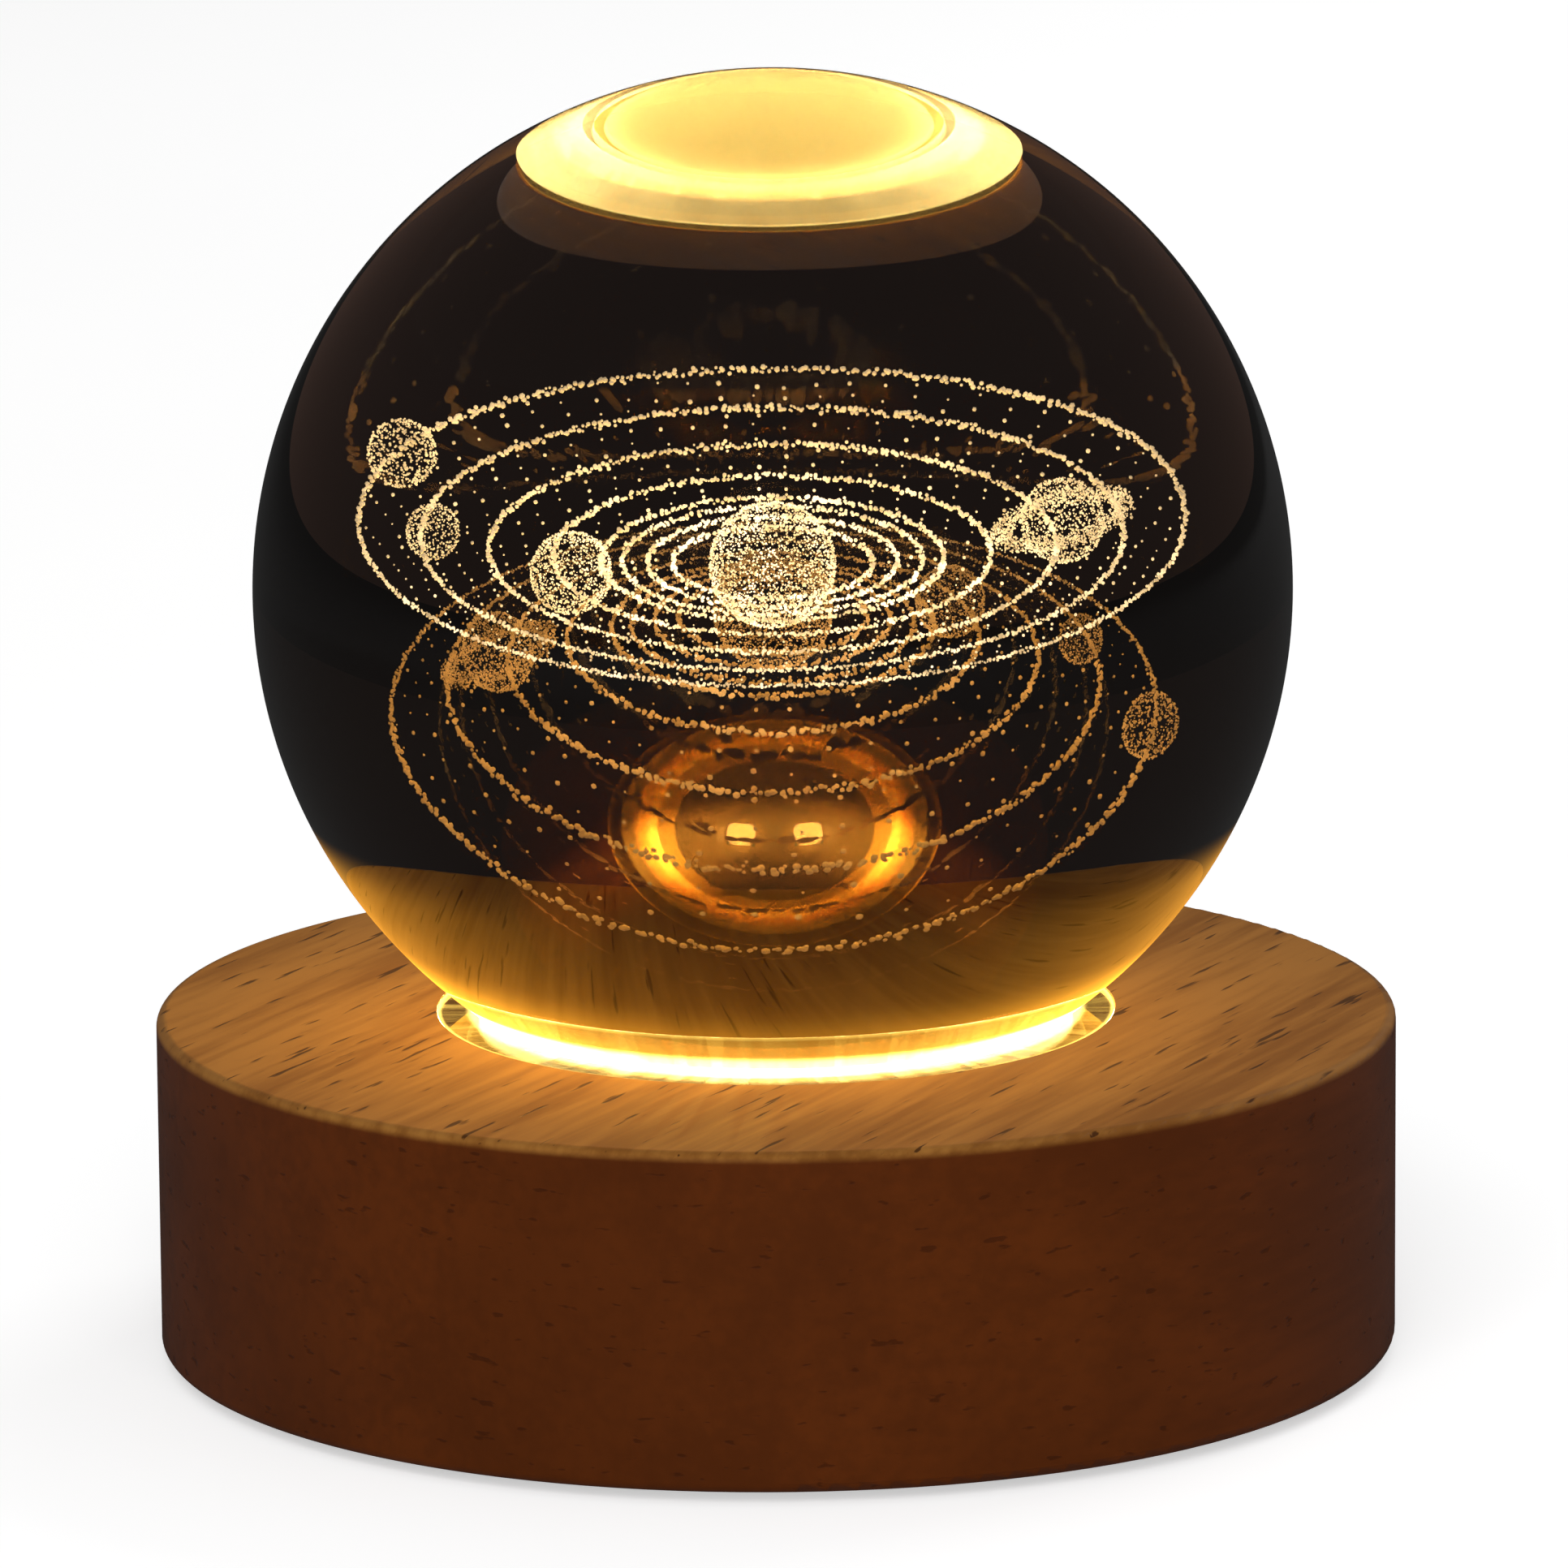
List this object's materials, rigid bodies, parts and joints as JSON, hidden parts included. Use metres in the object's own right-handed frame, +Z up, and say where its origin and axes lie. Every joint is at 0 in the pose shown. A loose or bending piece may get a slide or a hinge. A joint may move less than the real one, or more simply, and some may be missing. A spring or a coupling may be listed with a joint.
{
  "type": "crystal ball lamp",
  "caption": "Table lamp: an engraved glass ball rests on a clear ring in a turned wooden base that lights it from below, with a power socket and push button at the rear.",
  "frame": {"origin": "middle of the underside, on the surface that the feet stand on", "axes": "+Z up along the axis of ball and base, -Y to the front, +Y to the rear with the inlet"},
  "size_m": [0.096, 0.096, 0.1],
  "materials": {
    "crystal": "polished clear optical glass",
    "engraving": "rows of tiny cracks inside the glass, white unlit and gold when lit",
    "clear_acrylic": "polished clear acrylic",
    "turned_wood": "oiled hardwood, honey brown on top and dark on the side",
    "cup_white": "white moulded plastic",
    "diode_board": "white solder mask",
    "diode": "white case with yellow phosphor, warm white when lit",
    "screw_steel": "zinc plated",
    "red_wire": "soft insulation",
    "black_wire": "soft insulation",
    "inlet_board_green": "green solder mask",
    "resistor_black": "ceramic chip with tinned ends",
    "socket_steel": "nickel plated",
    "socket_black": "moulded plastic",
    "switch_black": "moulded plastic",
    "button_black": "smooth moulded plastic",
    "spring_steel": "music wire",
    "bezel_black": "fine spark texture",
    "cover_black": "fine spark texture",
    "foot_rubber": "soft rubber"
  },
  "bodies": {
    "base": {"wood_base": "turned_wood", "light_cup": "cup_white", "led_board": "diode_board", "led_left": "diode", "led_right": "diode", "led_board_screws": "screw_steel", "positive_lead": "red_wire", "negative_lead": "black_wire", "inlet_board": "inlet_board_green", "inlet_board_screws": "screw_steel", "current_resistor": "resistor_black", "usb_shell": "socket_steel", "usb_core": "socket_black", "switch_housing": "switch_black", "button_spring": "spring_steel", "inlet_bezel": "bezel_black", "bezel_screws": "screw_steel", "bottom_cover": "cover_black", "cover_screws": "screw_steel", "foot_right": "foot_rubber", "foot_rear": "foot_rubber", "foot_left": "foot_rubber", "foot_front": "foot_rubber"},
    "seat": {"seat_ring": "clear_acrylic"},
    "ball": {"crystal_ball": "crystal", "engraved_orbits": "engraving", "engraved_globes": "engraving"},
    "button": {"push_button": "button_black"}
  },
  "joints": [
    {"name": "ball_turn", "type": "hinge", "parent": "base", "child": "seat", "pos_m": [0, 0, 0.0255], "axis": [0, 0, 1], "continuous": true},
    {"name": "ball_lift", "type": "slide", "parent": "seat", "child": "ball", "axis": [0, 0, 1], "range_m": [0, 0.06]},
    {"name": "button_press", "type": "slide", "parent": "base", "child": "button", "axis": [0, -1, 0], "range_m": [0, 0.0013], "stiffness_N_per_m": 1200, "springref_m": -0.0008, "deforming": ["button_spring"]}
  ]
}
